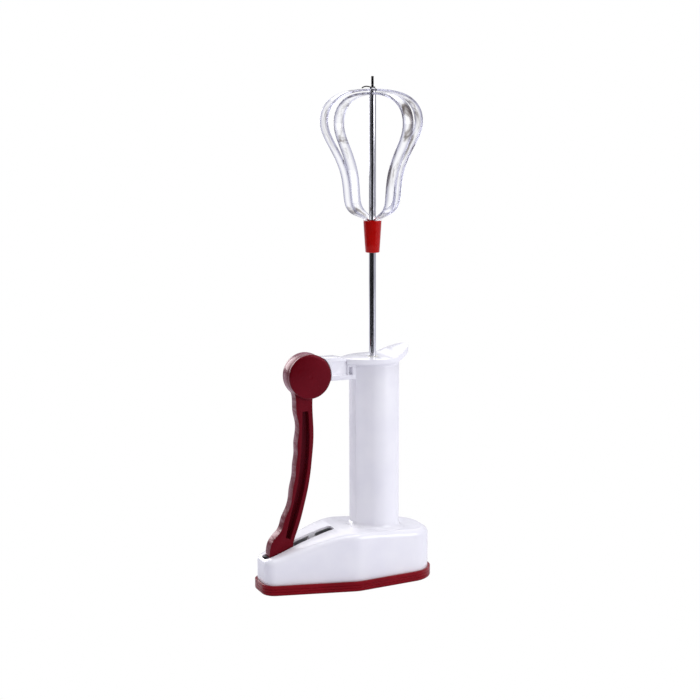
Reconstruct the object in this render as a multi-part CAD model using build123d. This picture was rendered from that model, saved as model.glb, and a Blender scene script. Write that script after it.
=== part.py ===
from build123d import *
import math
import os

# Lever-operated hand whisk. Millimetres, +Z up, base flat on z = 0, spindle on the Z axis.
# The lever and the nose of the base point to -X, the thumb tab points to +X.

# --- base: boat-shaped plan, corners given before rounding ---
NOSE_X, NOSE_HALF, NOSE_R = -83.6, 13.0, 9.8
WIDE_X, WIDE_HALF, WIDE_R = -22.0, 28.2, 24.0
REAR_X, REAR_HALF, REAR_R = 39.8, 22.5, 19.5
RIM_TOP = 7.0
RIM_WALL = 1.7
GROOVES = (2.6, 4.4)
GROOVE = 0.3
FLOOR = 2.5
HOUSING_INSET = 1.8
HOUSING_WALL = 1.8
TOP_WALL = 1.7
SHOULDER_R = 4.4
TOP_PROFILE = [(-92.0, 20.6), (-84.0, 22.3), (-74.5, 24.6), (-60.0, 29.9), (-43.0, 35.4),
               (-30.0, 38.5), (-14.0, 38.8), (6.0, 37.0), (28.0, 35.2), (48.0, 34.2)]
SLOT_X = (-80.0, -30.0)
SLOT_HALF = 4.7

# --- handle: flat front, round back ---
FRONT_X, FRONT_HALF = -14.8, 5.7
BACK_X, BACK_R = 3.1, 15.2
HANDLE_WALL = 2.2
HANDLE_FOOT, HANDLE_TOP = 34.6, 149.4
GUARD_Z = (151.2, 154.4)

# --- arm and pivot head of the lever ---
PIVOT_X, PIVOT_Z = -47.7, 144.4
HEAD_R = 14.9
RING_IN = 12.6
CAP_Y = (4.0, 6.8)
ARM_Z = (140.5, 156.0)
TONGUE_Y = (-3.7, 0.1)
PIN_R = 2.5
LEVER_HALF = 4.0
WEB_Y = (1.6, 2.8)

# --- gear train, module and tooth counts ---
MODULE = 0.8
PRESSURE = math.radians(25.0)
PITCH = math.pi * MODULE
RACK_RADIUS = 122.4
RACK_BAND = (117.0, 127.0)
RACK_PITCH_Y = 2.2
RACK_PLATE_Y = (-1.4, 1.2)
FIRST_SMALL, FIRST_LARGE = 12, 24
SECOND_SMALL, SECOND_LARGE = 30, 43
SPINDLE_TEETH = 12
SHAFT_R = 1.5
FIRST_XY = (-43.0, RACK_PITCH_Y + FIRST_SMALL * MODULE / 2)
FIRST_TO_SECOND = (FIRST_LARGE + SECOND_SMALL) * MODULE / 2
SECOND_TO_SPINDLE = (SECOND_LARGE + SPINDLE_TEETH) * MODULE / 2
BRIDGE_Z = (15.6, 17.2)
POSTS = [(-8.0, -18.0), (-2.0, 18.2), (-33.0, -15.0)]
BASE_SCREWS = [(-68.0, 8.6), (-68.0, -8.6), (24.0, 12.2), (24.0, -12.2)]

# --- spindle and whisk ---
SPINDLE_R = 2.35
TIP_R = 0.95
SPINDLE_FOOT, SPINDLE_TOP = 4.0, 340.0
COLLAR_Z = (224.4, 245.75)
COLLAR_R = (4.7, 6.1)
BLADE_HALF = 4.1
BLADE_T = 1.4
WHISK_TURN = 11.8
LOOP_CURVE = [(3.5, 236.0), (3.5, 240.0), (3.6, 243.6), (4.7, 246.4), (7.8, 248.3), (11.8, 249.7),
              (16.3, 252.0), (19.6, 256.6), (20.3, 264.4), (21.6, 276.1), (27.0, 287.8), (35.2, 299.5),
              (39.2, 308.0), (38.2, 316.9), (34.0, 322.9), (25.5, 328.4), (12.0, 330.9)]


def second_centre():
    """Where the second gear's axis lies: on both centre distances at once."""
    ax, ay = FIRST_XY
    span = math.hypot(ax, ay)
    along = (SECOND_TO_SPINDLE ** 2 - FIRST_TO_SECOND ** 2 + span ** 2) / (2 * span)
    side = math.sqrt(max(SECOND_TO_SPINDLE ** 2 - along ** 2, 0.0))
    ux, uy = ax / span, ay / span
    return (along * ux + side * uy, along * uy - side * ux)


SECOND_XY = second_centre()


# ---------------------------------------------------------------- helpers

def rod(x, y, z0, z1, radius):
    """An upright cylinder between two heights."""
    return Pos(x, y, (z0 + z1) / 2) * Cylinder(radius, z1 - z0)


def cross_rod(x, z, y0, y1, radius):
    """A cylinder lying along Y between two depths."""
    return Pos(x, (y0 + y1) / 2, z) * Rot(90, 0, 0) * Cylinder(radius, y1 - y0)


def block(x0, x1, y0, y1, z0, z1):
    """A box given by its limits."""
    return Pos((x0 + x1) / 2, (y0 + y1) / 2, (z0 + z1) / 2) * Box(x1 - x0, y1 - y0, z1 - z0)


def slab(sketch, z0, z1):
    """A plan outline raised from z0 to z1."""
    return extrude(Pos(0, 0, z0) * sketch, amount=z1 - z0)


def side_plate(face, y0, y1):
    """A face drawn in the XZ plane given thickness from y0 to y1."""
    return Pos(0, y1, 0) * extrude(Plane.XZ * face, amount=y1 - y0)


def closed_face(points):
    """A face inside a closed run of straight edges."""
    return make_face(Polyline(*points, close=True))


# ---------------------------------------------------------------- base

def boat(inset=0.0):
    """Plan outline of the base, drawn in by an inset."""
    corners = [(NOSE_X, NOSE_HALF), (WIDE_X, WIDE_HALF), (REAR_X, REAR_HALF)]
    points = [(x, -y) for x, y in corners] + list(reversed(corners))
    outline = closed_face(points)
    for x, radius in ((NOSE_X, NOSE_R), (WIDE_X, WIDE_R), (REAR_X, REAR_R)):
        outline = fillet([v for v in outline.vertices() if abs(v.X - x) < 0.01], radius)
    return offset(outline, -inset) if inset else outline


def under_profile(drop):
    """Everything below the base's sloping top, lowered by a drop."""
    curve = [(x, z - drop) for x, z in TOP_PROFILE]
    edge = Spline(*curve)
    close = Polyline(curve[-1], (curve[-1][0], 0.0), (curve[0][0], 0.0), curve[0])
    return side_plate(make_face([edge] + close.edges()), -40.0, 40.0)


def base_envelope():
    """Outer solid of the white housing with its soft shoulder."""
    solid = slab(boat(HOUSING_INSET), FLOOR, 45.0) & under_profile(0.0)
    top = [e for e in solid.edges() if e.center().Z > FLOOR + 8]
    top = [e for e in top if abs((e @ 0).Z - (e @ 1).Z) < 12 and min((e @ 0).Z, (e @ 1).Z) > 15]
    return fillet(top, SHOULDER_R)


def base_cavity():
    """Hollow inside the housing."""
    return slab(boat(HOUSING_INSET + HOUSING_WALL), 0.0, 45.0) & under_profile(TOP_WALL)


def base_plate():
    """Red floor plate with its upstanding rim, bearing bosses and bridge posts."""
    rim = slab(boat(), 0.0, RIM_TOP) - slab(boat(RIM_WALL), FLOOR, RIM_TOP + 1)
    rim = fillet(rim.faces().sort_by(Axis.Z)[0].outer_wire().edges(), 1.5)
    for z in GROOVES:
        rim -= slab(boat(), z, z + GROOVE) - slab(boat(GROOVE), z, z + GROOVE)
    plate = rim + rod(*FIRST_XY, FLOOR, 5.8, 3.4) + rod(*SECOND_XY, FLOOR, 5.8, 3.4)
    plate += rod(0, 0, FLOOR, 9.0, 5.0)
    for x, y in POSTS:
        plate += rod(x, y, FLOOR, BRIDGE_Z[0], 2.7)
        plate -= rod(x, y, BRIDGE_Z[0] - 8.0, BRIDGE_Z[0] + 1, 1.2)
    for x, y in (FIRST_XY, SECOND_XY):
        plate -= rod(x, y, 1.0, 7.0, SHAFT_R)
    for x, y in BASE_SCREWS:
        plate -= rod(x, y, -1.0, 1.9, 3.1) + rod(x, y, 1.0, FLOOR + 1, 1.6)
    return plate - rod(0, 0, SPINDLE_FOOT, 10.0, SPINDLE_R + 0.05)


def lever_slot():
    """Opening in the housing's sloping top for the lever foot."""
    x0, x1 = SLOT_X
    mouth = RectangleRounded(x1 - x0, 2 * SLOT_HALF, 2.0)
    return slab(Pos((x0 + x1) / 2, 0) * mouth, 18.0, 50.0)


def base_housing():
    """White shell over the gear train, screw bosses hanging from its top."""
    cavity = base_cavity()
    shell = base_envelope() - cavity
    bosses = [rod(x, y, FLOOR, 40.0, 3.0) for x, y in BASE_SCREWS]
    bosses.append(rod(*FIRST_XY, 27.4, 40.0, 3.2) - block(-50, -36, 0.0, SLOT_HALF, 20, 45))
    for boss in bosses:
        shell += boss & under_profile(TOP_WALL - 0.5)
    for x, y in BASE_SCREWS:
        shell -= rod(x, y, FLOOR - 1, 13.0, 1.35)
    shell -= rod(*FIRST_XY, 26.0, 30.5, SHAFT_R)
    return shell - lever_slot() - slab(offset(handle_outline(), 0.05), 30.0, 45.0)


def base_screws():
    """Four countersunk screws driven up from beneath."""
    return [rod(x, y, 0.5, 1.8, 2.8) + rod(x, y, 1.8, 12.0, 1.35) for x, y in BASE_SCREWS]


# ---------------------------------------------------------------- handle

def handle_outline():
    """Flat front joined by tangents to a round back."""
    dx = BACK_X - FRONT_X
    reach = math.hypot(dx, FRONT_HALF)
    toward = math.atan2(FRONT_HALF, -dx)
    bend = math.acos(BACK_R / reach)
    angle = toward - bend
    tx = BACK_X + BACK_R * math.cos(angle)
    ty = BACK_R * math.sin(angle)
    sides = Polyline((tx, -ty), (FRONT_X, -FRONT_HALF), (FRONT_X, FRONT_HALF), (tx, ty))
    back = ThreePointArc((tx, ty), (BACK_X + BACK_R, 0), (tx, -ty))
    return make_face(sides.edges() + [back])


def arm():
    """Arm carrying the pivot, hollowed on both sides, ending in a tongue with an eye."""
    z0, z1 = ARM_Z
    side = [(-60.0, z0), (FRONT_X + 1, z0), (FRONT_X + 1, HANDLE_TOP), (FRONT_X, HANDLE_TOP),
            (FRONT_X, 151.1), (-21.2, 151.1), (-21.2, 154.6), (-27.0, z1), (-60.0, z1)]
    beam = side_plate(closed_face(side), -FRONT_HALF, FRONT_HALF)
    beam -= block(-70, PIVOT_X, -9, 9, 100, 170) + cross_rod(PIVOT_X, PIVOT_Z, -9, 9, HEAD_R + 0.5)
    for s in (-1, 1):
        beam -= Pos(0, s * FRONT_HALF, 0) * block(-32.0, -20.6, -1.2, 1.2, 143.7, 153.2)
        beam -= Pos(0, s * FRONT_HALF, 0) * block(-20.0, -17.0, -3.5, 3.5, 143.5, 149.0)
    throat = closed_face([(PIVOT_X, z0 - 1.5), (-33, z0), (-33, z1), (PIVOT_X, z1 - 3)])
    neck = side_plate(throat, *TONGUE_Y)
    eye = cross_rod(PIVOT_X, PIVOT_Z, *TONGUE_Y, 8.0)
    peg = cross_rod(PIVOT_X + 7.0, PIVOT_Z + 6.2, TONGUE_Y[1] - 1, 3.4, 1.1)
    return beam + neck + eye + peg - cross_rod(PIVOT_X, PIVOT_Z, -9, 9, PIN_R + 0.05)


def handle():
    """Hollow grip with a foot flange trapped beneath the housing top."""
    outline = handle_outline()
    bore = offset(outline, -HANDLE_WALL)
    tube = slab(outline, HANDLE_FOOT, HANDLE_TOP)
    flange = slab(offset(outline, 2.4), 33.8, 45.0) & under_profile(TOP_WALL)
    tube += flange + arm()
    tube -= slab(bore, 30.0, HANDLE_TOP + 1)
    web = block(FRONT_X + 1, BACK_X + BACK_R - 1, -1.0, 1.0, 96.0, 99.0)
    return tube + web - rod(0, 0, 90.0, 105.0, SPINDLE_R + 0.6)


def top_guard():
    """Cap over the grip that spreads to a hand guard and curls up into a thumb tab."""
    half = [(-21.0, 6.0), (-13.0, 12.6), (-3.0, 16.8), (8.0, 16.4), (17.5, 12.8), (23.0, 7.6)]
    edge = Spline(*half, (25.2, 0.0), *[(x, -y) for x, y in reversed(half)])
    plan = make_face([edge, Line(edge @ 1, edge @ 0)])
    low = Spline((8.0, GUARD_Z[0]), (16.5, 153.6), (27.5, 159.0), tangents=[(1, 0), (1, 0.4)])
    high = Spline((26.5, 162.2), (15.0, 157.0), (6.0, GUARD_Z[1]), tangents=[(-1, -0.4), (-1, 0)])
    ends = Polyline((6.0, GUARD_Z[1]), (-25.0, GUARD_Z[1]), (-25.0, GUARD_Z[0]), (8.0, GUARD_Z[0]))
    section = make_face([low, Line(low @ 1, high @ 0), high] + ends.edges())
    guard = slab(plan, 140.0, 163.0) & side_plate(section, -25.0, 25.0)
    outline = handle_outline()
    plug = offset(outline, -HANDLE_WALL - 0.1)
    guard += slab(outline, HANDLE_TOP, GUARD_Z[0]) + slab(plug, 145.0, HANDLE_TOP)
    guard -= slab(offset(plug, -1.6), 140.0, 150.4)
    guard += rod(0, 0, 146.5, 151.0, 6.0)
    return guard - rod(0, 0, 140.0, 160.0, 3.8)


def upper_bush():
    """Sleeve guiding the spindle in the guard."""
    sleeve = rod(0, 0, 146.5, 154.5, 3.8)
    return sleeve - rod(0, 0, 140.0, 160.0, SPINDLE_R + 0.05)


# ---------------------------------------------------------------- gears

def gear_outline(teeth, phase, backlash):
    """Involute spur gear outline with a tooth centred on the phase angle."""
    pitch_r = teeth * MODULE / 2
    base_r = pitch_r * math.cos(PRESSURE)
    root_r = pitch_r - 1.2 * MODULE
    tip_r = pitch_r + 0.95 * MODULE
    inv = math.tan(PRESSURE) - PRESSURE
    half = (PITCH / 2 - backlash) / 2 / pitch_r + inv
    flank = [(root_r, half)] if root_r < base_r else []
    start = max(base_r, root_r)
    for step in range(6):
        r = start + (tip_r - start) * step / 5
        a = math.acos(min(base_r / r, 1.0))
        flank.append((r, half - (math.tan(a) - a)))
    points = []
    for tooth in range(teeth):
        mid = phase + 2 * math.pi * tooth / teeth
        for r, a in flank:
            points.append((r * math.cos(mid - a), r * math.sin(mid - a)))
        for r, a in reversed(flank):
            points.append((r * math.cos(mid + a), r * math.sin(mid + a)))
    return closed_face(points)


def mesh_phase(teeth_a, phase_a, centre_a, teeth_b, centre_b):
    """Phase that puts a gap of gear B over a tooth of gear A."""
    line = math.atan2(centre_b[1] - centre_a[1], centre_b[0] - centre_a[0])
    part = (line - phase_a) * teeth_a / (2 * math.pi)
    return line + math.pi - (0.5 - part) * 2 * math.pi / teeth_b


FIRST_PHASE = -math.pi / 2 + math.pi / FIRST_SMALL
SECOND_PHASE = mesh_phase(FIRST_LARGE, FIRST_PHASE, FIRST_XY, SECOND_SMALL, SECOND_XY)
SPINDLE_PHASE = mesh_phase(SECOND_LARGE, SECOND_PHASE, SECOND_XY, SPINDLE_TEETH, (0.0, 0.0))


def wheel(teeth, phase, centre, z0, z1, backlash=0.08):
    """One toothed disc at its place."""
    return slab(Pos(centre[0], centre[1]) * gear_outline(teeth, phase, backlash), z0, z1)


def first_gear():
    """Compound gear driven by the lever's rack."""
    body = wheel(FIRST_LARGE, FIRST_PHASE, FIRST_XY, 6.0, 10.0)
    body += rod(*FIRST_XY, 9.0, 18.5, 3.2)
    body += wheel(FIRST_SMALL, FIRST_PHASE, FIRST_XY, 18.0, 26.0)
    body += rod(*FIRST_XY, 26.0, 27.1, 2.8)
    return body - rod(*FIRST_XY, 0, 40, SHAFT_R + 0.05)


def second_gear():
    """Compound gear between the first gear and the spindle."""
    body = wheel(SECOND_SMALL, SECOND_PHASE, SECOND_XY, 6.0, 10.0)
    body += rod(*SECOND_XY, 9.0, 11.5, 6.0)
    body += wheel(SECOND_LARGE, SECOND_PHASE, SECOND_XY, 11.0, 15.0)
    body += rod(*SECOND_XY, 14.5, 15.4, 3.0)
    return body - rod(*SECOND_XY, 0, 40, SHAFT_R + 0.05)


def spindle_pinion():
    """Small gear pressed on the spindle."""
    body = rod(0, 0, 9.4, 11.0, 3.7) + wheel(SPINDLE_TEETH, SPINDLE_PHASE, (0, 0), 10.5, 15.4)
    return body - rod(0, 0, 0, 40, SPINDLE_R)


def gear_bridge():
    """Steel plate over the second gear, held on three posts."""
    pads = [Pos(x, y) * Circle(4.0) for x, y in POSTS]
    pads.append(Pos(*SECOND_XY) * Circle(5.0))
    rims = [pad.edges()[0] for pad in pads]
    plate = slab(make_hull(rims), *BRIDGE_Z)
    plate -= rod(0, 0, 0, 40, SPINDLE_R + 0.5) + rod(*SECOND_XY, 0, 40, SHAFT_R)
    for x, y in POSTS:
        plate -= rod(x, y, 0, 40, 1.3)
    return plate


def bridge_screws():
    """Three pan-head screws on the bridge posts."""
    top = BRIDGE_Z[1]
    return [rod(x, y, top, top + 1.6, 2.3) + rod(x, y, top - 8.0, top, 1.2) for x, y in POSTS]


# ---------------------------------------------------------------- lever

def about_pivot(shape, degrees):
    """Turn a shape about the pivot; positive carries its lower end to +X."""
    axis = Axis((PIVOT_X, 0, PIVOT_Z), (0, -1, 0))
    return shape.rotate(axis, degrees)


def lever():
    """Curved grip lever: open ring head, I-section shank, foot that carries the rack."""
    outer = [(-61.0, 138.0), (-57.3, 130.6), (-56.8, 120.4), (-55.2, 112.6), (-55.3, 106.4),
             (-56.4, 99.0), (-56.3, 92.6), (-57.5, 84.0), (-57.9, 77.6), (-59.9, 68.4),
             (-60.9, 60.6), (-63.1, 54.0), (-65.8, 48.6), (-68.3, 41.4), (-72.6, 36.8),
             (-75.6, 32.4), (-76.8, 27.0), (-76.9, 21.5)]
    inner = [(-59.8, 24.0), (-60.2, 30.0), (-57.0, 40.4), (-51.6, 58.2), (-48.9, 69.4),
             (-47.1, 79.8), (-45.9, 90.2), (-45.0, 100.0), (-44.9, 110.8), (-45.4, 120.4),
             (-44.8, 134.0)]
    left, right = Spline(*outer), Spline(*inner)
    face = make_face([left, Line(left @ 1, right @ 0), right, Line(right @ 1, left @ 0)])
    shank = side_plate(face, -LEVER_HALF, LEVER_HALF)
    pocket_left = [(-52.6, 121.0), (-53.0, 108.0), (-54.2, 90.0), (-56.2, 74.0), (-60.6, 55.3), (-65.4, 36.0)]
    pocket_right = [(-62.0, 34.6), (-55.4, 54.7), (-50.6, 74.0), (-48.4, 90.0), (-47.7, 107.0), (-48.6, 121.0)]
    a, b = Spline(*pocket_left), Spline(*pocket_right)
    pocket = make_face([a, Line(a @ 1, b @ 0), b, Line(b @ 1, a @ 0)])
    for y0, y1 in ((-LEVER_HALF, WEB_Y[0]), (WEB_Y[1], LEVER_HALF)):
        shank -= side_plate(pocket, y0, y1)
    rim = cross_rod(PIVOT_X, PIVOT_Z, -LEVER_HALF, LEVER_HALF, HEAD_R)
    body = shank + rim - cross_rod(PIVOT_X, PIVOT_Z, -9, 9, RING_IN)
    a0, a1 = math.radians(-60), math.radians(75)
    mouth = [(PIVOT_X, PIVOT_Z), (PIVOT_X + 30 * math.cos(a0), PIVOT_Z + 30 * math.sin(a0)),
             (PIVOT_X + 45, PIVOT_Z), (PIVOT_X + 30 * math.cos(a1), PIVOT_Z + 30 * math.sin(a1))]
    body -= side_plate(closed_face(mouth), -9, 9)
    body -= below(115.5, 150.0, RACK_PLATE_Y[0], 9.0) & rack_side(-12.7)
    body -= below(124.2, 150.0, -9.0, 9.0)
    for x, z in rack_rivet_places():
        body -= cross_rod(x, z, -3.0, 0.0, 0.9)
    return body


def below(r0, r1, y0, y1):
    """Everything between two radii from the pivot, on the lever's side."""
    ring = cross_rod(PIVOT_X, PIVOT_Z, y0, y1, r1) - cross_rod(PIVOT_X, PIVOT_Z, y0, y1, r0)
    return ring & block(-120, 40, -20, 20, -20, 60)


def rack_side(degrees):
    """Half space on the handle's side of a radius of the pivot."""
    a = math.radians(degrees)
    foot = (PIVOT_X + 220 * math.sin(a), PIVOT_Z - 220 * math.cos(a))
    return side_plate(closed_face([(PIVOT_X, PIVOT_Z), foot, (120, foot[1]), (120, PIVOT_Z)]), -20, 20)


def rack_rivet_places():
    """Two rivets through the lever foot and the rack."""
    spots = []
    for angle in (-11.4, -8.2):
        a = math.radians(angle)
        spots.append((PIVOT_X + 120.6 * math.sin(a), PIVOT_Z - 120.6 * math.cos(a)))
    return spots


def rack_sector():
    """Curved rack centred on the pivot, teeth facing +Y."""
    y0, y1 = RACK_PLATE_Y
    plate = below(RACK_BAND[0], RACK_BAND[1], y0, y1)
    plate = (plate & rack_side(-12.6)) - rack_side(4.1)
    slope = math.tan(PRESSURE)
    half = (PITCH / 2 - 0.28) / 2
    rise, fall = 0.95 * MODULE, RACK_PITCH_Y - y1 + 0.2
    x = FIRST_XY[0]
    root, tip = half + slope * fall, half - slope * rise
    tooth = closed_face([(x - root, RACK_PITCH_Y - fall), (x + root, RACK_PITCH_Y - fall),
                         (x + tip, RACK_PITCH_Y + rise), (x - tip, RACK_PITCH_Y + rise)])
    bar = slab(tooth, PIVOT_Z - RACK_BAND[1] + 0.2, PIVOT_Z - RACK_BAND[0] - 0.2)
    step = math.degrees(PITCH / RACK_RADIUS)
    for k in range(-1, 13):
        plate += about_pivot(bar, -k * step)
    for px, pz in rack_rivet_places():
        plate -= cross_rod(px, pz, -9, 9, 0.9)
    return plate


def rack_rivets():
    """Two blind rivets, set from behind."""
    rivets = []
    for x, z in rack_rivet_places():
        rivets.append(cross_rod(x, z, -3.0, RACK_PLATE_Y[1], 0.9))
    return rivets


def head_cap(side):
    """Round cap closing the pivot head; side is -1 in front, +1 behind."""
    y0, y1 = sorted((side * CAP_Y[0], side * CAP_Y[1]))
    disc = cross_rod(PIVOT_X, PIVOT_Z, y0, y1, HEAD_R)
    rim = [e for e in disc.edges().filter_by(GeomType.CIRCLE) if abs(e.center().Y - side * CAP_Y[1]) < 0.01]
    disc = fillet(rim, 0.9)
    socket = sorted((side * (CAP_Y[0] - 1), side * (CAP_Y[0] + 1.5)))
    disc -= cross_rod(PIVOT_X, PIVOT_Z, *socket, PIN_R)
    return disc - Pos(PIVOT_X, side * (CAP_Y[1] + 0.5), PIVOT_Z) * Sphere(1.1)


def pivot_pin():
    """Pin through the tongue, seated in both caps."""
    return cross_rod(PIVOT_X, PIVOT_Z, -CAP_Y[0] - 1.5, CAP_Y[0] + 1.5, PIN_R)


def return_spring():
    """Torsion spring round the pin behind the tongue."""
    wire, coil, turns, pitch = 0.4, 5.2, 2.5, 1.05
    path = Helix(pitch, pitch * turns, coil)
    rotor = Pos(PIVOT_X, 0.7, PIVOT_Z) * Rot(-90, 0, 0)
    body = sweep(Plane(path @ 0, z_dir=path % 0) * Circle(wire), path=path)
    first = Plane(path @ 0, z_dir=-(path % 0))
    last = Plane(path @ 1, z_dir=path % 1)
    body += extrude(first * Circle(wire), amount=5.0) + extrude(last * Circle(wire), amount=5.0)
    return rotor * body


# ---------------------------------------------------------------- spindle and whisk

def spindle():
    """Steel shaft from the base to above the whisk, thinner at its tip."""
    shaft = rod(0, 0, SPINDLE_FOOT, 332.4, SPINDLE_R) + rod(0, 0, 332.0, SPINDLE_TOP, TIP_R)
    shaft = chamfer(shaft.faces().sort_by(Axis.Z)[-1].edges(), 0.3)
    return shaft - (rod(0, 0, 143.6, 144.5, 4.0) - rod(0, 0, 143.0, 145.0, 1.9))


def spindle_clip():
    """Open ring in the shaft groove that stops the spindle lifting out."""
    return rod(0, 0, 143.65, 144.45, 4.4) - rod(0, 0, 143.0, 145.0, 1.9) - block(0, 6, -1.2, 1.2, 143, 145)


def whisk_collar():
    """Tapered sleeve gripping the four blade ends, its mouth countersunk."""
    height = COLLAR_Z[1] - COLLAR_Z[0]
    middle = (COLLAR_Z[0] + COLLAR_Z[1]) / 2
    sleeve = Pos(0, 0, middle) * Cone(COLLAR_R[0], COLLAR_R[1], height)
    sleeve -= rod(0, 0, 235.5, 250.0, 5.1) + rod(0, 0, 220.0, 240.0, SPINDLE_R)
    return sleeve - Pos(0, 0, COLLAR_Z[1] - 0.3) * Cone(5.0, 5.9, 0.9)


def loop_run(lift):
    """Centre line of one loop from foot to foot, its top lowered by a lift."""
    top = LOOP_CURVE[-1][1] - lift
    squeeze = (top - 264.0) / (LOOP_CURVE[-1][1] - 264.0)
    side = [(r, z if z < 264 else 264 + (z - 264) * squeeze) for r, z in LOOP_CURVE]
    return [(-r, z) for r, z in side] + [(0.0, top + 0.3)] + list(reversed(side))


def loop_face(lift):
    """The strip of one closed loop seen edge-on."""
    run = loop_run(lift)
    outside, inside = [], []
    for i, (r, z) in enumerate(run):
        ra, za = run[max(i - 1, 0)]
        rb, zb = run[min(i + 1, len(run) - 1)]
        size = math.hypot(rb - ra, zb - za)
        nr, nz = -(zb - za) / size * BLADE_T / 2, (rb - ra) / size * BLADE_T / 2
        outside.append((r + nr, z + nz))
        inside.append((r - nr, z - nz))
    a, b = Spline(*outside), Spline(*inside)
    return make_face([a, Line(a @ 1, b @ 1), b, Line(b @ 0, a @ 0)])


def blade_loop(lift, turn):
    """Clear loop bent over the spindle, narrow where its feet enter the collar."""
    loop = side_plate(loop_face(lift), -BLADE_HALF, BLADE_HALF)
    for sx in (-1, 1):
        for sy in (-1, 1):
            corner = closed_face([(0, 2.3 * sy), (5.2 * sx, 2.3 * sy), (12 * sx, BLADE_HALF * sy),
                                  (12 * sx, 7 * sy), (0, 7 * sy)])
            loop -= slab(corner, 230.0, 262.0)
    return Rot(0, 0, turn) * (loop - rod(0, 0, 320.0, 340.0, SPINDLE_R + 0.02))


def loop_clip():
    """Small ring that keeps the loops on the spindle."""
    return rod(0, 0, 332.4, 333.2, 2.0) - rod(0, 0, 330.0, 340.0, TIP_R)


# ---------------------------------------------------------------- export

def export(name, shape):
    """Write one named subcomponent."""
    solids = shape if isinstance(shape, list) else [shape]
    flat = [s for piece in solids for s in piece.solids()]
    whole = flat[0] if len(flat) == 1 else Compound(children=flat)
    whole.label = name
    export_step(whole, "parts/" + name + ".step")


os.makedirs("parts", exist_ok=True)
export("base_plate", base_plate())
export("base_housing", base_housing())
export("base_screws", base_screws())
export("handle", handle())
export("top_guard", top_guard())
export("upper_bush", upper_bush())
export("gear_bridge", gear_bridge())
export("bridge_screws", bridge_screws())
export("first_gear_shaft", rod(*FIRST_XY, 1.0, 30.5, SHAFT_R))
export("second_gear_shaft", rod(*SECOND_XY, 1.0, BRIDGE_Z[1], SHAFT_R))
export("first_gear", first_gear())
export("second_gear", second_gear())
export("thrust_washer", rod(0, 0, 9.0, 9.3, 4.6) - rod(0, 0, 0, 20, SPINDLE_R + 0.1))
export("spindle", spindle())
export("spindle_pinion", spindle_pinion())
export("spindle_clip", spindle_clip())
export("whisk_collar", whisk_collar())
export("outer_loop", blade_loop(0.0, WHISK_TURN))
export("inner_loop", blade_loop(2.2, WHISK_TURN + 90))
export("loop_clip", loop_clip())
export("lever", lever())
export("lever_front_cap", head_cap(-1))
export("lever_rear_cap", head_cap(1))
export("pivot_pin", pivot_pin())
export("return_spring", return_spring())
export("rack_sector", rack_sector())
export("rack_rivets", rack_rivets())
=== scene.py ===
import math

import bmesh
import bpy
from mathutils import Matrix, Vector


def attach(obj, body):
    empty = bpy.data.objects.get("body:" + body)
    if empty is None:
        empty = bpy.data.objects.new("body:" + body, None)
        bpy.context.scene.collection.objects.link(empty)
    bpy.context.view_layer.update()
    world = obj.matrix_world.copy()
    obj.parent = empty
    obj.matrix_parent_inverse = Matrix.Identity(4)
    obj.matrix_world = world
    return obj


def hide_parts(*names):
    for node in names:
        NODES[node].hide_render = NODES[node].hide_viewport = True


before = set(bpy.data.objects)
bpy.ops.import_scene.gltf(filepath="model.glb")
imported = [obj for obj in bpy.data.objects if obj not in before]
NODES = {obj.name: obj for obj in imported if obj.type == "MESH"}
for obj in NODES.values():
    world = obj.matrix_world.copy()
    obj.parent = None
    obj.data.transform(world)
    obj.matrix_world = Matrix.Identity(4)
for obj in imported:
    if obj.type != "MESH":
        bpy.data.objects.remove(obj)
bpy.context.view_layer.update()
MM = 0.001


# ---------------------------------------------------------------- studio

CAMERA_AZIMUTH, CAMERA_RISE = math.radians(24.37), math.radians(9.52)
CAMERA_DISTANCE, TARGET_HEIGHT = 0.9997, 0.150
TOWARDS_CAMERA = Vector((-math.sin(CAMERA_AZIMUTH) * math.cos(CAMERA_RISE),
                         -math.cos(CAMERA_AZIMUTH) * math.cos(CAMERA_RISE), math.sin(CAMERA_RISE)))
SENSOR, LENS = 36.0, 76.08343
SHIFT_X, SHIFT_Y = -0.0320571, 0.0175571


def place(obj):
    """Put a new object in the scene."""
    bpy.context.scene.collection.objects.link(obj)
    return obj


camera = place(bpy.data.objects.new("studio_camera", bpy.data.cameras.new("studio_camera")))
camera.data.sensor_width = SENSOR
camera.data.lens = LENS
camera.data.shift_x, camera.data.shift_y = SHIFT_X, SHIFT_Y
camera.location = Vector((0, 0, TARGET_HEIGHT)) + TOWARDS_CAMERA * CAMERA_DISTANCE
camera.rotation_euler = (-TOWARDS_CAMERA).to_track_quat("-Z", "Y").to_euler()
bpy.context.scene.camera = camera


# ---------------------------------------------------------------- materials

def srgb(hex_colour):
    """A hex colour as linear RGBA."""
    values = [int(hex_colour[i:i + 2], 16) / 255 for i in (1, 3, 5)]
    return (*[v / 12.92 if v <= 0.04045 else ((v + 0.055) / 1.055) ** 2.4 for v in values], 1.0)


def add(tree, kind, settings=None, values=None, links=None):
    """One shader node: its settings, the values on its sockets, and what feeds them."""
    made = tree.nodes.new("ShaderNode" + kind)
    for key, value in (settings or {}).items():
        setattr(made, key, value)
    for key, value in (values or {}).items():
        made.inputs[key].default_value = value
    for key, source in (links or {}).items():
        tree.links.new(source, made.inputs[key])
    return made


def start_material(name, **sockets):
    """An empty finish: its tree, its surface shader and the object's own coordinates."""
    material = bpy.data.materials.new(name)
    material.use_nodes = True
    tree = material.node_tree
    surface = tree.nodes["Principled BSDF"]
    for key, value in sockets.items():
        surface.inputs[key.replace("_", " ")].default_value = value
    place_on = add(tree, "TexCoord").outputs["Object"]
    return material, tree, surface, place_on


def per_mm(size):
    """Noise scale whose largest blobs are this many millimetres across."""
    return 1.0 / (size * MM)


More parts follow.
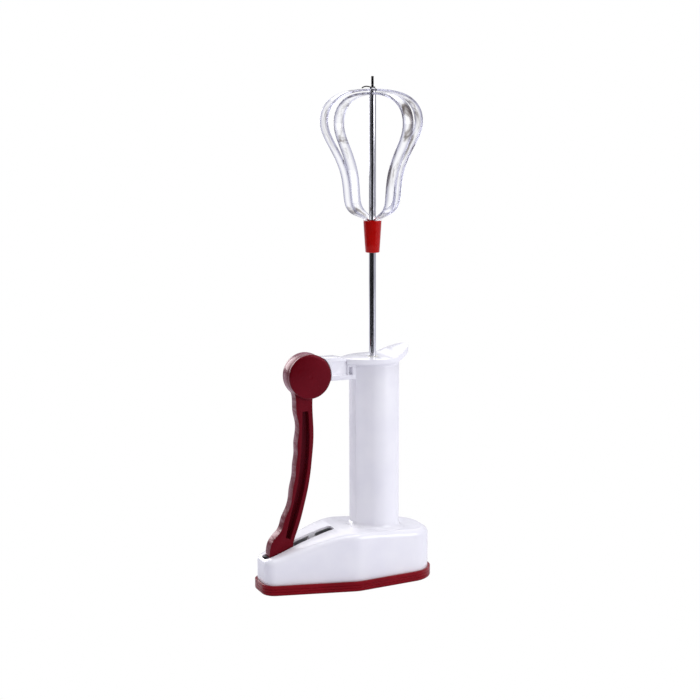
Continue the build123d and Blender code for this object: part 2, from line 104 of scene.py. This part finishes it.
def tint(tree, factor, low, high, from_low=0.3, from_high=0.7):
    """A colour that goes from low to high as a pattern rises."""
    ramp = add(tree, "ValToRGB", links={"Fac": factor})
    ramp.color_ramp.elements[0].position, ramp.color_ramp.elements[1].position = from_low, from_high
    ramp.color_ramp.elements[0].color, ramp.color_ramp.elements[1].color = srgb(low), srgb(high)
    return ramp.outputs["Color"]


def vary(tree, factor, low, high):
    """A number that goes from low to high as a pattern rises."""
    span = add(tree, "MapRange", values={"From Min": 0.3, "From Max": 0.7, "To Min": low, "To Max": high},
               links={"Value": factor})
    return span.outputs["Result"]


CLOUD_MM, RUB_MM, SINK_MM, SINK_DEPTH_MM = 26, 7, 9, 0.05


def moulded(name, low, high, rough, grain_mm, depth_mm, **sockets):
    """Injection-moulded plastic: cloudy colour, uneven gloss, slight ripple and fine tool grain."""
    material, tree, surface, spot = start_material(name, **sockets)
    cloud = add(tree, "TexNoise", values={"Scale": per_mm(CLOUD_MM), "Detail": 3.0}, links={"Vector": spot})
    fine = add(tree, "TexNoise", values={"Scale": per_mm(grain_mm), "Detail": 4.0}, links={"Vector": spot})
    rub = add(tree, "TexNoise", values={"Scale": per_mm(RUB_MM), "Detail": 5.0, "Distortion": 0.6},
              links={"Vector": spot})
    tree.links.new(tint(tree, cloud.outputs["Fac"], low, high), surface.inputs["Base Color"])
    tree.links.new(vary(tree, rub.outputs["Fac"], rough[0], rough[1]), surface.inputs["Roughness"])
    ripple = add(tree, "TexNoise", values={"Scale": per_mm(SINK_MM), "Detail": 1.0}, links={"Vector": spot})
    wave = add(tree, "Bump", values={"Strength": 0.22, "Distance": SINK_DEPTH_MM * MM},
               links={"Height": ripple.outputs["Fac"]})
    grain = add(tree, "Bump", values={"Strength": 0.35, "Distance": depth_mm * MM},
                links={"Height": fine.outputs["Fac"], "Normal": wave.outputs["Normal"]})
    tree.links.new(grain.outputs["Normal"], surface.inputs["Normal"])
    return material


PATCH_MM = 12


def metal(name, low, high, rough, lines, line_mm, depth_mm, **sockets):
    """Worked steel: drawn or ground lines stretched along an axis, and patchy gloss."""
    material, tree, surface, spot = start_material(name, Metallic=1.0, **sockets)
    stretch = add(tree, "Mapping", values={"Scale": lines}, links={"Vector": spot})
    line = add(tree, "TexNoise", values={"Scale": per_mm(line_mm), "Detail": 3.0},
               links={"Vector": stretch.outputs["Vector"]})
    patch = add(tree, "TexNoise", values={"Scale": per_mm(PATCH_MM), "Detail": 4.0}, links={"Vector": spot})
    tree.links.new(tint(tree, patch.outputs["Fac"], low, high), surface.inputs["Base Color"])
    tree.links.new(vary(tree, line.outputs["Fac"], rough[0], rough[1]), surface.inputs["Roughness"])
    cut = add(tree, "Bump", values={"Strength": 0.3, "Distance": depth_mm * MM},
              links={"Height": line.outputs["Fac"]})
    tree.links.new(cut.outputs["Normal"], surface.inputs["Normal"])
    return material


# Glossy white ABS, injection moulded: cool white with lavender shade, a wet highlight, a faint ripple.
WHITE_ABS = moulded("white_moulded_abs", "#efeef5", "#f8f7fb", (0.16, 0.26), 0.9, 0.012,
                    IOR=1.54, Coat_Weight=0.25, Coat_Roughness=0.08,
                    Subsurface_Weight=0.06, Subsurface_Scale=0.004, Subsurface_Radius=(1.0, 0.9, 1.0))
# Deep maroon ABS: nearly black-red seen straight on, with a pink sheen where light grazes it.
MAROON_ABS = moulded("maroon_moulded_abs", "#54040c", "#620812", (0.18, 0.28), 0.8, 0.006,
                     IOR=1.54, Specular_IOR_Level=0.3, Specular_Tint=srgb("#ff7f9c"),
                     Sheen_Weight=0.3, Sheen_Roughness=0.3, Sheen_Tint=srgb("#ff7fb4"))
# Crimson polypropylene tray: warmer and lighter than the lever, softly shining.
CRIMSON_PP = moulded("crimson_moulded_polypropylene", "#70060f", "#840b18", (0.18, 0.28), 0.7, 0.008,
                     IOR=1.49, Specular_IOR_Level=0.3, Specular_Tint=srgb("#ff8c9c"))
# Bright red ABS sleeve: saturated and glossy, its highlight red rather than white.
RED_ABS = moulded("red_moulded_abs", "#a40604", "#b60a07", (0.14, 0.22), 0.8, 0.012,
                  IOR=1.54, Specular_IOR_Level=0.5, Specular_Tint=srgb("#ff8a84"))
# Natural acetal gears: milky, waxy, with a dry machined gloss.
ACETAL = moulded("natural_acetal", "#dcdad0", "#e8e6de", (0.35, 0.5), 0.6, 0.01,
                 IOR=1.48, Subsurface_Weight=0.15, Subsurface_Scale=0.003,
                 Subsurface_Radius=(1.0, 1.0, 0.9))
# Polished stainless shaft: bright, with grinding rings round it too fine to see one by one,
# drawn at 0.5 mm so that they break up the reflection.
POLISHED_STEEL = metal("polished_stainless_steel", "#c9c9ce", "#dcdce0", (0.06, 0.13),
                       (0.35, 0.35, 3.0), 0.5, 0.0012)
# Zinc-plated screws, pins and bridge: bluish, patchy and duller.
ZINC_STEEL = metal("zinc_plated_steel", "#9fa4ad", "#bcc0c8", (0.26, 0.42), (1.0, 1.0, 1.0), 0.6, 0.01)
# Blackened steel clips: dark grey-brown with an oily gloss.
DARK_STEEL = metal("black_oxide_steel", "#1d1b1c", "#2c292a", (0.28, 0.45), (1.0, 1.0, 1.0), 0.5, 0.01)
# Spring wire: drawn, with fine lines and a straw tone.
SPRING_STEEL = metal("drawn_spring_steel", "#8b8780", "#aaa59c", (0.2, 0.34), (2.0, 0.4, 2.0), 0.5, 0.006)


FLOW_MM, HAZE_MM, SMEAR_MM, FLOW_DEPTH_MM = 5, 3, 14, 0.04
ALONG_BLADE, LONG_SMEAR = (1.0, 1.0, 0.22), (1.6, 1.6, 0.2)
EDGE_SHADE_WANDER = 0.22


def clear_plastic():
    """Clear moulded polycarbonate: water-clear in the middle, with painted shade along its edges, a
    lavender grey standing in for the dimming where light goes the long way through, and a few smoky smears
    and slow flow ripples."""
    material, tree, surface, spot = start_material(
        "clear_moulded_polycarbonate", Transmission_Weight=1.0, IOR=1.38)
    edge = add(tree, "Attribute", {"attribute_name": "edge_nearness"})
    along = add(tree, "Mapping", values={"Scale": ALONG_BLADE}, links={"Vector": spot})
    flow = add(tree, "TexNoise", values={"Scale": per_mm(FLOW_MM), "Detail": 2.0, "Distortion": 0.8},
               links={"Vector": along.outputs["Vector"]})
    haze = add(tree, "TexNoise", values={"Scale": per_mm(HAZE_MM), "Detail": 5.0}, links={"Vector": spot})
    wander = add(tree, "Math", {"operation": "MULTIPLY_ADD"},
                 values={1: EDGE_SHADE_WANDER, 2: -EDGE_SHADE_WANDER / 2}, links={0: flow.outputs["Fac"]})
    near = add(tree, "Math", {"operation": "ADD"},
               links={0: edge.outputs["Fac"], 1: wander.outputs["Value"]})
    # Painted shade: lavender grey laid into the colour along the blade edges, standing in for the dimming
    # of light through the long path.
    painted_edge_shade = tint(tree, near.outputs["Value"], "#fcfcff", "#b9b9ce", 0.3, 0.88)
    long_smear = add(tree, "Mapping", values={"Scale": LONG_SMEAR}, links={"Vector": spot})
    smear = add(tree, "TexNoise", values={"Scale": per_mm(SMEAR_MM), "Detail": 3.0, "Distortion": 1.2},
                links={"Vector": long_smear.outputs["Vector"]})
    smoke = tint(tree, smear.outputs["Fac"], "#ffffff", "#6e6662", 0.53, 0.66)
    mixed = add(tree, "Mix", {"data_type": "RGBA", "blend_type": "MULTIPLY"}, values={0: 1.0},
                links={6: painted_edge_shade, 7: smoke})
    tree.links.new(mixed.outputs[2], surface.inputs["Base Color"])
    tree.links.new(vary(tree, haze.outputs["Fac"], 0.0, 0.06), surface.inputs["Roughness"])
    ripple = add(tree, "Bump", values={"Strength": 0.2, "Distance": FLOW_DEPTH_MM * MM},
                 links={"Height": flow.outputs["Fac"]})
    tree.links.new(ripple.outputs["Normal"], surface.inputs["Normal"])
    return material


CLEAR_PC = clear_plastic()

FINISH = {"white_plastic": WHITE_ABS, "maroon_plastic": MAROON_ABS, "crimson_plastic": CRIMSON_PP,
          "red_plastic": RED_ABS, "clear_plastic": CLEAR_PC, "acetal": ACETAL,
          "polished_steel": POLISHED_STEEL, "zinc_steel": ZINC_STEEL, "dark_steel": DARK_STEEL,
          "spring_steel": SPRING_STEEL}
NODE_SLOT = {
    "base_plate": "crimson_plastic", "base_housing": "white_plastic", "base_screws": "zinc_steel",
    "handle": "white_plastic", "top_guard": "white_plastic", "upper_bush": "acetal",
    "gear_bridge": "zinc_steel", "bridge_screws": "zinc_steel", "first_gear_shaft": "polished_steel",
    "second_gear_shaft": "polished_steel", "first_gear": "acetal", "second_gear": "acetal",
    "thrust_washer": "zinc_steel", "spindle": "polished_steel", "spindle_pinion": "acetal",
    "spindle_clip": "dark_steel", "whisk_collar": "red_plastic", "outer_loop": "clear_plastic",
    "inner_loop": "clear_plastic", "loop_clip": "dark_steel", "lever": "maroon_plastic",
    "lever_front_cap": "maroon_plastic", "lever_rear_cap": "maroon_plastic",
    "pivot_pin": "polished_steel", "return_spring": "spring_steel", "rack_sector": "acetal",
    "rack_rivets": "zinc_steel"}
for name, obj in NODES.items():
    obj.data.materials.clear()
    obj.data.materials.append(FINISH[NODE_SLOT[name]])


# ---------------------------------------------------------------- modelling by hand

def deselect():
    """Nothing selected, in object mode."""
    if bpy.context.object and bpy.context.object.mode != "OBJECT":
        bpy.ops.object.mode_set(mode="OBJECT")
    bpy.ops.object.select_all(action="DESELECT")


def alone(obj):
    """Only this object selected and active."""
    deselect()
    bpy.context.view_layer.objects.active = obj
    obj.select_set(True)
    return obj


def pick(kind, test):
    """In edit mode, select the verts, edges or faces that pass a test of their place."""
    bpy.ops.mesh.select_mode(type={"verts": "VERT", "edges": "EDGE", "faces": "FACE"}[kind])
    bpy.ops.mesh.select_all(action="DESELECT")
    shape = bmesh.from_edit_mesh(bpy.context.object.data)
    for part in getattr(shape, kind):
        if test(part):
            part.select_set(True)
    bmesh.update_edit_mesh(bpy.context.object.data)


def modify(obj, kind, **settings):
    """One modifier added and applied."""
    alone(obj)
    made = obj.modifiers.new(kind.lower(), kind)
    for key, value in settings.items():
        setattr(made, key, value)
    bpy.ops.object.modifier_apply(modifier=made.name)


SMOOTH_TO = 35


def finish(obj, name, slot, body, replaced=(), smooth=SMOOTH_TO):
    """Bake the place into the mesh, shade it, give it its finish and its body, and hide the CAD nodes it
    replaces.
    """
    alone(obj)
    obj.name = obj.data.name = name
    bpy.ops.object.transform_apply(location=True, rotation=True, scale=True)
    bpy.ops.object.shade_smooth_by_angle(angle=math.radians(smooth))
    obj.data.materials.clear()
    obj.data.materials.append(FINISH[slot])
    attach(obj, body)
    if replaced:
        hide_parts(*replaced)


MESH_MERGE_MM, MESH_FLAT, SHARP_FROM = 0.002, 1.2, 32


def softened(node, name, body, width):
    """A copy of a CAD part with its sharp edges broken, as a mould leaves them."""
    source = NODES[node]
    alone(source)
    bpy.ops.object.duplicate()
    obj = bpy.context.object
    bpy.ops.object.mode_set(mode="EDIT")
    bpy.ops.mesh.select_all(action="SELECT")
    bpy.ops.mesh.remove_doubles(threshold=MESH_MERGE_MM * MM)
    bpy.ops.mesh.dissolve_limited(angle_limit=math.radians(MESH_FLAT))
    bpy.ops.object.mode_set(mode="OBJECT")
    modify(obj, "BEVEL", width=width * MM, segments=3, limit_method="ANGLE",
           angle_limit=math.radians(SHARP_FROM), use_clamp_overlap=True, harden_normals=False)
    finish(obj, name, NODE_SLOT[node], body, [node])


def shift(x=0.0, y=0.0, z=0.0):
    """Extrude what is selected and move the new part by millimetres."""
    bpy.ops.mesh.extrude_region_move(TRANSFORM_OT_translate={"value": (x * MM, y * MM, z * MM)})


def stretch(x=1.0, y=1.0, z=1.0, about=(0.0, 0.0, 0.0)):
    """Resize what is selected about a point given in millimetres."""
    bpy.ops.transform.resize(value=(x, y, z), center_override=[v * MM for v in about])


def start_edge(start, half):
    """A new object in edit mode that holds one edge across Y, all of it selected."""
    deselect()
    bpy.ops.mesh.primitive_plane_add(size=2 * half * MM, location=[v * MM for v in start])
    bpy.ops.object.mode_set(mode="EDIT")
    pick("verts", lambda v: v.co.x > 0)
    bpy.ops.mesh.delete(type="VERT")
    bpy.ops.mesh.select_all(action="SELECT")
    bpy.ops.transform.translate(value=(half * MM, 0, 0))
    return bpy.context.object


def turned(axis, centre, profile, sides=72):
    """A solid of revolution drawn ring by ring from a circle; profile is (radius, distance) in mm."""
    lie = (math.pi / 2, 0, 0) if axis == "y" else (0, 0, 0)
    first_radius, first_level = profile[0]
    spot = list(centre)
    along = 1 if axis == "y" else 2
    spot[along] += first_level
    deselect()
    bpy.ops.mesh.primitive_circle_add(vertices=sides, radius=first_radius * MM, rotation=lie,
                                      location=[v * MM for v in spot])
    bpy.ops.object.transform_apply(location=True, rotation=True, scale=True)
    bpy.ops.object.mode_set(mode="EDIT")
    bpy.ops.mesh.select_all(action="SELECT")
    radius, level = first_radius, first_level
    for new_radius, new_level in profile[1:]:
        step = new_level - level
        shift(y=step if axis == "y" else 0.0, z=0.0 if axis == "y" else step)
        grow = new_radius / radius
        spot[along] += step
        across = (grow, 1.0, grow) if axis == "y" else (grow, grow, 1.0)
        stretch(*across, about=spot)
        radius, level = new_radius, new_level
    return bpy.context.object


WELD_MM = 0.004


def tidy_mesh(obj):
    """Doubles merged and faces turned outwards."""
    alone(obj)
    bpy.ops.object.mode_set(mode="EDIT")
    bpy.ops.mesh.select_all(action="SELECT")
    bpy.ops.mesh.remove_doubles(threshold=WELD_MM * MM)
    bpy.ops.mesh.normals_make_consistent(inside=False)
    bpy.ops.object.mode_set(mode="OBJECT")


def close_ends(obj):
    """Cap the open ring a turned solid ends on, then the one it began on."""
    bpy.ops.mesh.edge_face_add()
    pick("edges", lambda e: e.is_boundary)
    bpy.ops.mesh.edge_face_add()
    bpy.ops.object.mode_set(mode="OBJECT")
    tidy_mesh(obj)


def bored(obj, radius, low, high):
    """A clean upright hole round the spindle axis."""
    deselect()
    bpy.ops.mesh.primitive_cylinder_add(vertices=48, radius=radius * MM, depth=(high - low) * MM,
                                        location=(0, 0, (high + low) / 2 * MM))
    drill = bpy.context.object
    modify(obj, "BOOLEAN", object=drill, operation="DIFFERENCE", solver="EXACT")
    bpy.data.objects.remove(drill)


# ---------------------------------------------------------------- whisk

SPINDLE_R = 2.35
WHISK_TURN = 11.8
BLADE_HALF, BLADE_THICK, BLADE_ROUND = 4.1, 1.4, 0.38
FOOT_HALF, FLARE_FROM, FLARE_TO = 2.3, 5.2, 12.0
LOOP_RUN = [(3.5, 236.0), (3.5, 240.0), (3.6, 243.6), (4.7, 246.4), (7.8, 248.3), (11.8, 249.7),
            (16.3, 252.0), (19.6, 256.6), (20.3, 264.4), (21.6, 276.1), (27.0, 287.8), (35.2, 299.5),
            (39.2, 308.0), (38.2, 316.9), (34.0, 322.9), (25.5, 328.4), (12.0, 330.9)]
LOOP_TOP, LOOP_FREE, UNDER_DROP, CROWN_RISE = 330.9, 264.0, 2.2, 0.3
BORE_LOW, BORE_HIGH, BORE_PLAY = 320.0, 340.0, 0.03


def blade_loop(name, node, turn, lift):
    """Clear blade bent over the spindle: a strip drawn foot to foot, thickened, edges rounded."""
    top = LOOP_TOP - lift
    squeeze = (top - LOOP_FREE) / (LOOP_TOP - LOOP_FREE)
    side = [(r, z if z < LOOP_FREE else LOOP_FREE + (z - LOOP_FREE) * squeeze) for r, z in LOOP_RUN]
    run = [(-r, z) for r, z in side] + [(0.0, top + CROWN_RISE)] + side[::-1]
    obj = start_edge((run[0][0], 0.0, run[0][1]), FOOT_HALF)
    half = FOOT_HALF
    for (xa, za), (xb, zb) in zip(run, run[1:]):
        shift(x=xb - xa, z=zb - za)
        flare = (abs(xb) - FLARE_FROM) / (FLARE_TO - FLARE_FROM)
        reach = min(max(flare, 0.0), 1.0) if zb < LOOP_FREE else 1.0
        wide = FOOT_HALF + (BLADE_HALF - FOOT_HALF) * reach
        stretch(y=wide / half)
        half = wide
    bpy.ops.object.mode_set(mode="OBJECT")
    tidy_mesh(obj)
    modify(obj, "SOLIDIFY", thickness=BLADE_THICK * MM, offset=0.0)
    modify(obj, "BEVEL", width=BLADE_ROUND * MM, segments=2, limit_method="ANGLE",
           angle_limit=math.radians(60))
    modify(obj, "SUBSURF", levels=2, render_levels=2)
    bored(obj, SPINDLE_R + BORE_PLAY, BORE_LOW, BORE_HIGH)
    alone(obj)
    bpy.ops.object.transform_apply(location=True, rotation=True, scale=True)
    # Edge nearness: the mask for the painted shade that the clear finish lays along the blade edges.
    nearness = obj.data.attributes.new("edge_nearness", "FLOAT", "POINT")
    for spot, mark in zip(obj.data.vertices, nearness.data):
        mark.value = abs(spot.co.y) / (BLADE_HALF * MM)
    obj.rotation_euler = (0, 0, math.radians(turn))
    finish(obj, name, "clear_plastic", "whisk", [node], smooth=50)


blade_loop("whisk_blade_over", "outer_loop", WHISK_TURN, 0.0)
blade_loop("whisk_blade_under", "inner_loop", WHISK_TURN + 90, UNDER_DROP)


COLLAR_PROFILE = [(2.4, 225.2), (2.7, 224.6), (4.3, 224.4), (4.62, 224.55), (4.75, 224.9), (5.1, 230.0),
                  (5.55, 237.0), (5.8, 241.0), (5.95, 243.4), (6.02, 244.9), (6.05, 245.5), (5.98, 245.72),
                  (5.88, 245.75), (5.7, 245.6), (5.16, 244.95), (5.1, 244.6), (5.1, 243.4), (5.1, 236.2),
                  (4.9, 235.7), (2.5, 235.5), (2.36, 235.3), (2.36, 225.6), (2.4, 225.2)]


def whisk_sleeve():
    """Tapered red sleeve with rolled lips, its mouth countersunk to let the blades out."""
    obj = turned("z", (0.0, 0.0, 0.0), COLLAR_PROFILE, 96)
    bpy.ops.object.mode_set(mode="OBJECT")
    tidy_mesh(obj)
    finish(obj, "whisk_sleeve", "red_plastic", "whisk", ["whisk_collar"])


whisk_sleeve()

SHAFT_PROFILE = [(1.9, 4.0), (2.2, 4.05), (2.35, 4.35), (2.35, 4.8), (2.35, 143.2), (2.35, 143.45),
                 (2.3, 143.6), (1.9, 143.62), (1.9, 144.48), (2.3, 144.5), (2.35, 144.65),
                 (2.35, 145.0), (2.35, 331.2), (2.35, 331.6), (2.3, 331.95), (2.1, 332.25),
                 (1.8, 332.4), (0.9, 332.4)]
TIP_FOOT, TIP_SHOULDER, TIP_TOP = 332.4, 339.6, 340.0
THREAD_PITCH, THREAD_IN, THREAD_OUT = 0.7, 0.72, 0.95


def spindle_shaft():
    """Polished shaft, ends rounded, with the groove that its clip sits in."""
    obj = turned("z", (0.0, 0.0, 0.0), SHAFT_PROFILE, 64)
    close_ends(obj)
    finish(obj, "spindle_shaft", "polished_steel", "whisk", ["spindle"])


def spindle_tip():
    """Blackened stub above the whisk, cut with a coarse thread that holds the clip."""
    profile, level = [(THREAD_OUT - 0.1, TIP_FOOT)], TIP_FOOT
    while level + THREAD_PITCH < TIP_SHOULDER:
        profile += [(THREAD_IN, level + THREAD_PITCH * 0.3), (THREAD_IN, level + THREAD_PITCH * 0.5),
                    (THREAD_OUT, level + THREAD_PITCH * 0.8), (THREAD_OUT, level + THREAD_PITCH)]
        level += THREAD_PITCH
    profile += [(THREAD_OUT - 0.05, TIP_SHOULDER), (THREAD_IN - 0.15, TIP_TOP)]
    obj = turned("z", (0.0, 0.0, 0.0), profile, 32)
    close_ends(obj)
    finish(obj, "spindle_tip", "dark_steel", "whisk")


CLIP_WIRE, CLIP_RING, CLIP_LEVEL = 0.4, 1.5, 332.85
CLIP_TURN, CLIP_START, CLIP_STEP, CLIP_POINTS, TAIL_ASIDE = 150.0, 90.0, 15.0, 22, 0.9
CLIP_TAIL = [(6.9, 332.3), (6.0, 332.9), (4.8, 333.3), (3.4, 333.4), (2.2, 333.1)]


def loop_hook():
    """Spring wire bent round the tip, its tail lying out over the blades."""
    angles = [math.radians(CLIP_START + CLIP_STEP * k) for k in range(CLIP_POINTS)]
    ring = [(CLIP_RING * math.cos(a), CLIP_RING * math.sin(a), CLIP_LEVEL) for a in angles]
    away = Vector((math.cos(math.radians(CLIP_TURN)), math.sin(math.radians(CLIP_TURN)), 0))
    aside = Vector((-away.y, away.x, 0)) * TAIL_ASIDE
    route = [tuple(away * r + aside + Vector((0, 0, z))) for r, z in CLIP_TAIL] + ring
    deselect()
    bpy.ops.curve.primitive_nurbs_path_add()
    obj = bpy.context.object
    obj.data.splines.clear()
    line = obj.data.splines.new("NURBS")
    line.points.add(len(route) - 1)
    for point, spot in zip(line.points, route):
        point.co = (*[v * MM for v in spot], 1.0)
    line.order_u = 3
    line.use_endpoint_u = True
    obj.data.bevel_depth = CLIP_WIRE * MM
    obj.data.bevel_resolution = 4
    obj.data.use_fill_caps = True
    alone(obj)
    bpy.ops.object.convert(target="MESH")
    obj = bpy.context.object
    tidy_mesh(obj)
    finish(obj, "loop_hook", "dark_steel", "whisk", ["loop_clip"])


spindle_shaft()
spindle_tip()
loop_hook()

# ---------------------------------------------------------------- pivot head

PIVOT = (-47.7, 0.0, 144.4)
CAP_PROFILE = [(2.6, 5.45), (2.6, 4.0), (14.88, 4.0), (14.9, 4.03), (14.9, 5.7), (14.84, 6.1),
               (14.66, 6.42), (14.38, 6.64), (14.0, 6.76), (13.0, 6.86), (11.0, 7.0), (8.0, 7.15),
               (5.0, 7.24), (2.0, 7.28), (1.5, 7.28), (1.2, 7.26), (0.8, 7.2), (0.45, 7.17)]


def pivot_cap(name, node, side):
    """Round cap: hollow for the pin behind, rolled edge, small gate dimple in the middle."""
    obj = turned("y", PIVOT, [(r, side * y) for r, y in CAP_PROFILE], 96)
    close_ends(obj)
    finish(obj, name, "maroon_plastic", "lever", [node], smooth=30)


pivot_cap("pivot_cap_front", "lever_front_cap", -1)
pivot_cap("pivot_cap_back", "lever_rear_cap", 1)

# ---------------------------------------------------------------- grip, base and lever

FRONT_X, FRONT_HALF = -14.8, 5.7
BACK_X, BACK_R = 3.1, 15.2
CORNER_DEEP, CORNER_OUT, CORNER_IN = 0.5, 0.2, 0.6


def grip_outline(steps=28):
    """Plan of the grip: flat front joined by tangents to a round back."""
    across = BACK_X - FRONT_X
    bend = math.acos(BACK_R / math.hypot(across, FRONT_HALF))
    start = math.atan2(FRONT_HALF, -across) - bend
    arc = [start - 2 * start * k / steps for k in range(steps + 1)]
    back = [(BACK_X + BACK_R * math.cos(a), BACK_R * math.sin(a)) for a in arc]
    half = [(FRONT_X + CORNER_DEEP, FRONT_HALF + CORNER_OUT), (FRONT_X, FRONT_HALF - CORNER_IN)]
    front = [(x, -y) for x, y in half] + [(FRONT_X, 0.0)] + half[::-1]
    return back + front


COVE = [(0.05, 3.4), (0.2, 2.1), (0.6, 1.1), (1.3, 0.42), (2.4, 0.1), (3.6, -0.05), (3.8, -0.7)]
COVE_SEAT, COVE_TILT = 37.75, 4.6
COVE_SHEET = 0.3
GRIP_MIDDLE, GRIP_REACH_X, GRIP_REACH_Y = 1.75, 16.55, 15.2


def foot_cove():
    """Soft hollow fillet where the grip rises out of the base: an outline drawn, then let out."""
    outline = grip_outline()
    x, y = outline[0]
    level = COVE_SEAT + COVE[0][1]
    deselect()
    bpy.ops.mesh.primitive_plane_add(size=MM, location=(x * MM, y * MM, level * MM))
    obj = bpy.context.object
    bpy.ops.object.transform_apply(location=True, rotation=True, scale=True)
    bpy.ops.object.mode_set(mode="EDIT")
    bpy.ops.mesh.select_mode(type="VERT")
    bpy.ops.mesh.select_all(action="SELECT")
    bpy.ops.mesh.merge(type="CENTER")
    bpy.ops.mesh.select_all(action="SELECT")
    for x2, y2 in outline[1:]:
        bpy.ops.mesh.extrude_vertices_move(
            TRANSFORM_OT_translate={"value": ((x2 - x) * MM, (y2 - y) * MM, 0)})
        x, y = x2, y2
    pick("verts", lambda v: len(v.link_edges) < 2)
    bpy.ops.mesh.edge_face_add()
    bpy.ops.mesh.select_all(action="SELECT")
    spread = 0.0
    for reach, height in COVE:
        rise = COVE_SEAT + height - level
        if reach > COVE[0][0]:
            shift(z=rise)
        stretch((GRIP_REACH_X + reach) / (GRIP_REACH_X + spread),
                (GRIP_REACH_Y + reach) / (GRIP_REACH_Y + spread),
                about=(GRIP_MIDDLE, 0.0, level + rise))
        spread, level = reach, level + rise
    bpy.ops.object.mode_set(mode="OBJECT")
    tidy_mesh(obj)
    obj.location = (0, 0, -COVE_SEAT * MM)
    bpy.ops.object.transform_apply(location=True, rotation=True, scale=True)
    obj.location = (0, 0, COVE_SEAT * MM)
    obj.rotation_euler = (0, math.radians(COVE_TILT), 0)
    modify(obj, "SOLIDIFY", thickness=COVE_SHEET * MM, offset=-1.0)
    finish(obj, "grip_foot_cove", "white_plastic", "frame", smooth=60)


foot_cove()

softened("lever", "grip_lever", "lever", 0.45)
softened("top_guard", "thumb_guard", "frame", 0.5)
softened("handle", "grip_tube", "frame", 0.5)
softened("base_housing", "gear_housing", "frame", 0.3)
softened("base_plate", "floor_tray", "frame", 0.25)


# ---------------------------------------------------------------- floor and light

FLOOR_SIDE, FLOOR_MOTTLE = 30, 6.0

deselect()
bpy.ops.mesh.primitive_plane_add(size=FLOOR_SIDE, location=(0, 0, 0))
floor = bpy.context.object
floor.name = "studio_floor"
floor_paint, floor_tree, floor_surface, floor_spot = start_material(
    "pale_studio_floor", Roughness=0.9, Emission_Color=srgb("#ffffff"), Emission_Strength=0.26)
mottle = add(floor_tree, "TexNoise", values={"Scale": FLOOR_MOTTLE, "Detail": 3.0},
             links={"Vector": floor_spot})
floor_tree.links.new(tint(floor_tree, mottle.outputs["Fac"], "#b4b4be", "#b8b8c2"),
                     floor_surface.inputs["Base Color"])
seen = add(floor_tree, "LightPath")
straight_on = add(floor_tree, "Math", {"operation": "MAXIMUM"},
                  links={0: seen.outputs["Is Camera Ray"], 1: seen.outputs["Is Transmission Ray"]})
bright = add(floor_tree, "Emission", values={"Color": srgb("#ffffff"), "Strength": 1.0})
paper = add(floor_tree, "MixShader",
            links={0: straight_on.outputs["Value"], 1: floor_surface.outputs["BSDF"],
                   2: bright.outputs["Emission"]})
floor_tree.links.new(paper.outputs["Shader"], floor_tree.nodes["Material Output"].inputs["Surface"])
floor.data.materials.append(floor_paint)

world = bpy.context.scene.world or bpy.data.worlds.new("studio")
bpy.context.scene.world = world
world.use_nodes = True
sky = world.node_tree
sky.nodes.clear()
ray = add(sky, "LightPath")
straight = add(sky, "Math", {"operation": "MAXIMUM"},
               links={0: ray.outputs["Is Camera Ray"], 1: ray.outputs["Is Transmission Ray"]})
glow = add(sky, "Background", values={"Color": srgb("#e9e9f6"), "Strength": 0.5})
white = add(sky, "Background", values={"Color": srgb("#ffffff"), "Strength": 1.0})
blend = add(sky, "MixShader", links={0: straight.outputs["Value"], 1: glow.outputs["Background"],
                                     2: white.outputs["Background"]})
add(sky, "OutputWorld", links={"Surface": blend.outputs["Shader"]})


def softbox(name, spot, power, size):
    """A square lamp facing the middle of the object."""
    lamp = place(bpy.data.objects.new(name, bpy.data.lights.new(name, "AREA")))
    lamp.data.energy, lamp.data.size = power, size
    lamp.location = spot
    aim = Vector((0, 0, TARGET_HEIGHT)) - Vector(spot)
    lamp.rotation_euler = aim.to_track_quat("-Z", "Y").to_euler()


softbox("right_softbox", (0.86, -1.22, 0.7), 9, 0.9)
softbox("top_softbox", (0.1, -0.2, 1.8), 16, 1.2)
softbox("back_left_softbox", (-0.38, 1.42, 0.6), 9, 0.8)
softbox("back_softbox", (0.5, 1.3, 1.2), 5, 1.2)

# Black cards on the camera's side, met only by reflections: they put the dark stripe down the
# polished spindle and deepen the maroon.
CARD_REACH, CARD_WIDTH, CARD_HEIGHT, CARD_GAP = 0.88, 0.77, 1.0, 0.002
CARD_BEARINGS = (173.3, 220.0, 266.7)
card_paint = start_material("black_card", Roughness=0.9, Base_Color=srgb("#0c0c0c"))[0]
for number, bearing in enumerate(CARD_BEARINGS):
    towards = Vector((math.cos(math.radians(bearing)), math.sin(math.radians(bearing)), 0))
    bpy.ops.mesh.primitive_plane_add(size=1.0)
    card = bpy.context.object
    card.name = "studio_black_card_%d" % number
    card.scale = (CARD_WIDTH, CARD_HEIGHT, 1.0)
    card.location = towards * CARD_REACH + Vector((0, 0, CARD_HEIGHT / 2 + CARD_GAP))
    card.rotation_euler = towards.to_track_quat("Z", "Y").to_euler()
    card.visible_camera = card.visible_diffuse = card.visible_shadow = False
    card.visible_transmission = False
    card.data.materials.append(card_paint)
bpy.context.scene.view_settings.view_transform = "Standard"

deselect()
